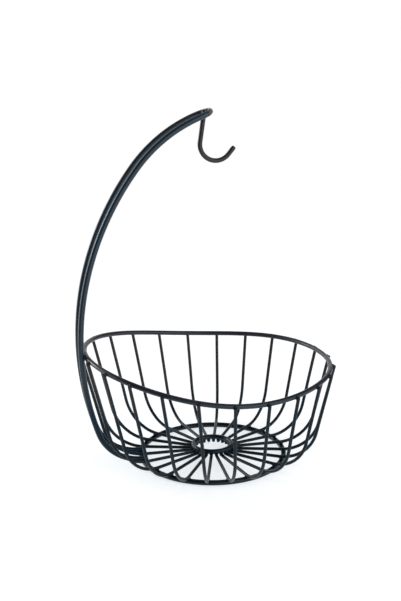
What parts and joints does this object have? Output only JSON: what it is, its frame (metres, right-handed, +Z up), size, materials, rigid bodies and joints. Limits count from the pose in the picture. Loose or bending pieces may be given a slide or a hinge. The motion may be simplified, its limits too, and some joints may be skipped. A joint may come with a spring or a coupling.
{
  "type": "wire storage basket",
  "caption": "Round open basket of bent wire ribs on a base ring, with a waving rim and a curved hairpin stand that holds a hook over the bowl.",
  "frame": {"origin": "on the floor under the middle of the basket's overall length and width", "axes": "+Z up, -X towards the stand, +X towards the basket's far end, Y across the basket"},
  "size_m": [0.2839, 0.2681, 0.3851],
  "materials": {
    "rim_paint": "semi-gloss black-blue paint on round steel wire",
    "ring_paint": "semi-gloss black-blue paint on round steel wire",
    "rib_paint": "semi-gloss black-blue paint on round steel wire",
    "stand_paint": "semi-gloss black-blue paint on round steel wire",
    "hook_paint": "semi-gloss black-blue paint on round steel wire"
  },
  "bodies": {
    "root": {"rim_ring": "rim_paint", "base_ring": "ring_paint", "hub_ring": "ring_paint", "hanger_stand": "stand_paint", "banana_hook": "hook_paint", "rib_01": "rib_paint", "rib_02": "rib_paint", "rib_03": "rib_paint", "rib_04": "rib_paint", "rib_05": "rib_paint", "rib_06": "rib_paint", "rib_07": "rib_paint", "rib_08": "rib_paint", "rib_09": "rib_paint", "rib_10": "rib_paint", "rib_11": "rib_paint", "rib_12": "rib_paint", "rib_13": "rib_paint", "rib_14": "rib_paint", "rib_15": "rib_paint", "rib_16": "rib_paint", "rib_17": "rib_paint", "rib_18": "rib_paint", "rib_19": "rib_paint", "rib_20": "rib_paint", "rib_21": "rib_paint", "rib_22": "rib_paint", "rib_23": "rib_paint", "rib_24": "rib_paint"}
  },
  "joints": []
}
